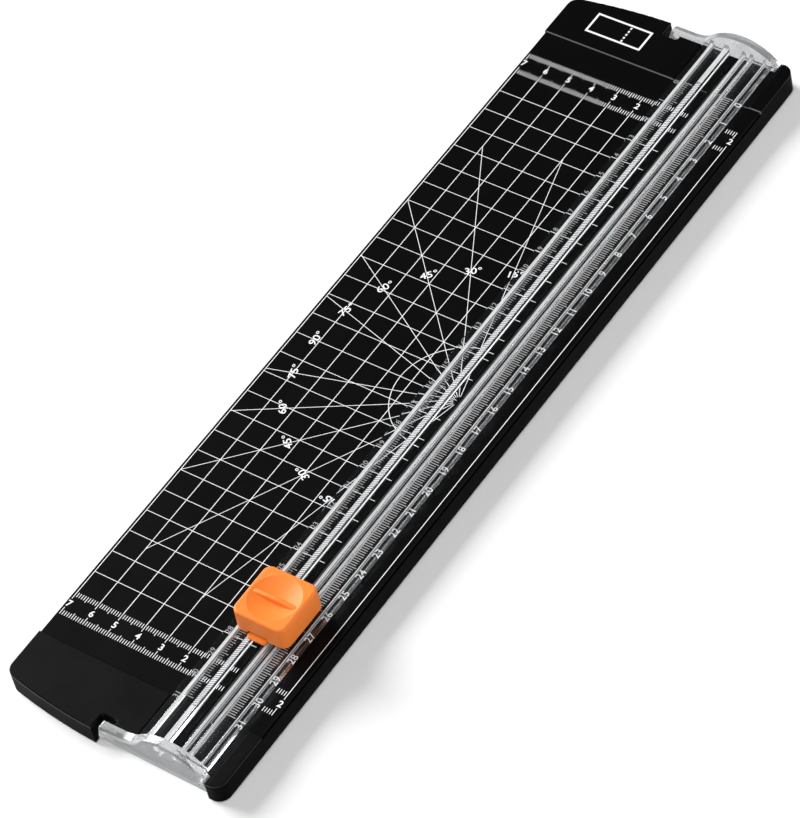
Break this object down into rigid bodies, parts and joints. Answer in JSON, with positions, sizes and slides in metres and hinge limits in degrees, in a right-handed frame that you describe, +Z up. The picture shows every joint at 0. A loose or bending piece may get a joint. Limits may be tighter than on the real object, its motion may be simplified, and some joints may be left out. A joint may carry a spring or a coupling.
{
  "type": "rotary paper trimmer",
  "caption": "Flat paper trimmer: ruled black base, clear lifting rail with scales, and a sliding cap that presses a small round blade into a grooved strip.",
  "frame": {"origin": "on the table, under the middle of the base", "axes": "+Y along the cut, to the end where the rulers start; +X across, to the narrow side; +Z up"},
  "size_m": [0.094, 0.36, 0.0233],
  "materials": {
    "panel_black": "satin black plastic with white printing",
    "frame_black": "fine-grained black plastic",
    "strip_black": "soft black cutting strip",
    "foot_rubber": "matt black rubber",
    "zinc_steel": "zinc-plated steel",
    "pin_steel": "polished steel",
    "spring_steel": "drawn spring wire",
    "blade_steel": "ground blade steel",
    "clear_plastic": "clear glossy plastic with white scale printing",
    "carriage_orange": "satin orange plastic",
    "cap_orange": "satin orange plastic",
    "shoe_plastic": "natural acetal",
    "holder_plastic": "grey plastic",
    "hub_plastic": "white acetal",
    "scale_print": "white screen-printed lines and numbers"
  },
  "bodies": {
    "base": {"ruled_plate": "panel_black", "side_plate": "panel_black", "end_block_near": "panel_black", "end_block_far": "panel_black", "bottom_frame": "frame_black", "cutting_strip": "strip_black", "cover_screws": "zinc_steel", "rubber_foot_1": "foot_rubber", "rubber_foot_2": "foot_rubber", "rubber_foot_3": "foot_rubber", "rubber_foot_4": "foot_rubber", "rubber_foot_5": "foot_rubber", "rubber_foot_6": "foot_rubber", "hinge_pin_near": "pin_steel", "hinge_pin_far": "pin_steel"},
    "rail": {"rail_strip_left": "clear_plastic", "rail_strip_right": "clear_plastic", "rail_end_near": "clear_plastic", "rail_end_far": "clear_plastic"},
    "carriage": {"carriage": "carriage_orange", "glide_shoe_near": "shoe_plastic", "glide_shoe_far": "shoe_plastic", "shoe_screws": "zinc_steel", "return_spring_near": "spring_steel", "return_spring_far": "spring_steel"},
    "head": {"press_cap": "cap_orange", "blade_holder": "holder_plastic", "holder_screws": "zinc_steel", "blade_axle": "pin_steel"},
    "blade": {"blade": "blade_steel", "blade_hub": "hub_plastic", "blade_washer": "hub_plastic"}
  },
  "joints": [
    {"name": "rail_lift", "type": "hinge", "parent": "base", "child": "rail", "pos_m": [0.0387, 0, 0.0066], "axis": [0, 1, 0], "range_deg": [0, 28]},
    {"name": "carriage_slide", "type": "slide", "parent": "rail", "child": "carriage", "axis": [0, 1, 0], "range_m": [-0.0455, 0.2735]},
    {"name": "head_press", "type": "slide", "parent": "carriage", "child": "head", "axis": [0, 0, -1], "range_m": [0, 0.0011], "stiffness_N_per_m": 400, "springref_m": -0.002, "deforming": ["return_spring_near", "return_spring_far"]},
    {"name": "blade_spin", "type": "hinge", "parent": "head", "child": "blade", "pos_m": [0.0245, -0.1141, 0.0143], "axis": [1, 0, 0], "continuous": true}
  ],
  "couplings": [
    {"joint": "blade_spin", "follows": "carriage_slide", "rad_per_m": -212.77}
  ]
}
